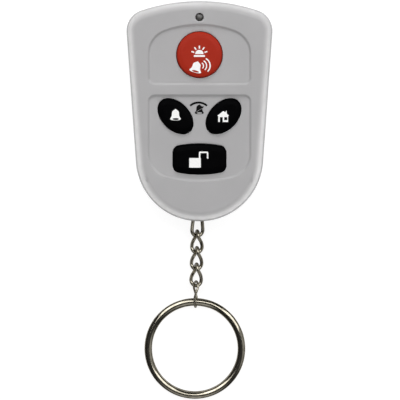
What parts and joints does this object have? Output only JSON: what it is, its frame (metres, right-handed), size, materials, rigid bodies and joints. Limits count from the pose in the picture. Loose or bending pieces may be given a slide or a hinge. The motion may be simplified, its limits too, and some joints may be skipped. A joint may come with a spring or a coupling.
{
  "type": "alarm key fob",
  "caption": "Shield-shaped alarm remote with round, oval and wide push keys, an indicator window, a turn-lock battery cover, and a twisted curb chain ending in a split key ring.",
  "frame": {"origin": "on the back face, at the middle of the case's outline; the fob lies on its back", "axes": "+Z out of the front face with the keys, +Y to the end with the lamp, -Y to the chain and ring"},
  "size_m": [0.0404, 0.1104, 0.0133],
  "materials": {
    "case_plastic": "fine moulded texture",
    "panic_red": "satin",
    "key_black": "satin",
    "smoked_window": "polished",
    "nickel": "bright nickel plate",
    "screw_steel": "zinc plated",
    "cell_can": "satin",
    "board_green": "solder mask",
    "copper": "tinned",
    "contact_gold": "plated",
    "chip_black": "matte",
    "chip_tan": "matte",
    "lamp_white": "gloss",
    "switch_grey": "matte",
    "plunger_ivory": "satin"
  },
  "bodies": {
    "case": {"front_shell": "case_plastic", "rear_shell": "case_plastic", "housing_screws": "screw_steel", "panic_switch_base": "switch_grey", "arm_switch_base": "switch_grey", "home_switch_base": "switch_grey", "disarm_switch_base": "switch_grey", "led_light_pipe": "smoked_window", "indicator_led": "lamp_white", "circuit_board": "board_green", "loop_antenna": "copper", "encoder_chip": "chip_black", "saw_resonator": "screw_steel", "rf_transistor": "chip_black", "chip_resistors": "chip_black", "chip_capacitors": "chip_tan", "coin_cell": "cell_can", "positive_contact": "contact_gold", "negative_contact": "contact_gold", "chain_pin": "screw_steel"},
    "panic_key": {"panic_button": "panic_red", "panic_switch_plunger": "plunger_ivory"},
    "arm_key": {"arm_button": "key_black", "arm_switch_plunger": "plunger_ivory"},
    "home_key": {"home_button": "key_black", "home_switch_plunger": "plunger_ivory"},
    "disarm_key": {"disarm_button": "key_black", "disarm_switch_plunger": "plunger_ivory"},
    "cover": {"battery_cover": "case_plastic"},
    "link_1": {"chain_link_1": "nickel"},
    "link_2": {"chain_link_2": "nickel"},
    "link_3": {"chain_link_3": "nickel"},
    "link_4": {"chain_link_4": "nickel"},
    "last_link": {"end_link": "nickel"},
    "ring": {"split_ring": "nickel"}
  },
  "joints": [
    {"name": "panic_press", "type": "slide", "parent": "case", "child": "panic_key", "axis": [0, 0, -1], "range_m": [0, 0.0003], "stiffness_N_per_m": 5000},
    {"name": "arm_press", "type": "slide", "parent": "case", "child": "arm_key", "axis": [0, 0, -1], "range_m": [0, 0.0003], "stiffness_N_per_m": 5000},
    {"name": "home_press", "type": "slide", "parent": "case", "child": "home_key", "axis": [0, 0, -1], "range_m": [0, 0.0003], "stiffness_N_per_m": 5000},
    {"name": "disarm_press", "type": "slide", "parent": "case", "child": "disarm_key", "axis": [0, 0, -1], "range_m": [0, 0.0003], "stiffness_N_per_m": 5000},
    {"name": "cover_turn", "type": "hinge", "parent": "case", "child": "cover", "pos_m": [0, 0.0135, 0.00075], "axis": [0, 0, -1], "range_deg": [0, 40]},
    {"name": "link_1_swing", "type": "hinge", "parent": "case", "child": "link_1", "pos_m": [-0.0005, -0.0295, 0.0029], "axis": [0, 0, 1], "range_deg": [-25, 25]},
    {"name": "link_2_lift", "type": "hinge", "parent": "link_1", "child": "link_2", "pos_m": [-0.00062, -0.03395, 0.00243], "axis": [-1, 0, 0], "range_deg": [-30, 30]},
    {"name": "link_3_swing", "type": "hinge", "parent": "link_2", "child": "link_3", "pos_m": [-0.00073, -0.03855, 0.00195], "axis": [0, 0, 1], "range_deg": [-30, 30]},
    {"name": "link_4_lift", "type": "hinge", "parent": "link_3", "child": "link_4", "pos_m": [-0.00085, -0.04315, 0.00195], "axis": [-1, 0, 0], "range_deg": [-30, 30]},
    {"name": "end_link_swing", "type": "hinge", "parent": "link_4", "child": "last_link", "pos_m": [-0.00096, -0.04774, 0.00231], "axis": [0, 0, 1], "range_deg": [-25, 25]},
    {"name": "ring_flip", "type": "hinge", "parent": "last_link", "child": "ring", "pos_m": [-0.00109, -0.05294, 0.00243], "axis": [-0.9997, 0.0244, 0], "range_deg": [-20, 60]}
  ]
}
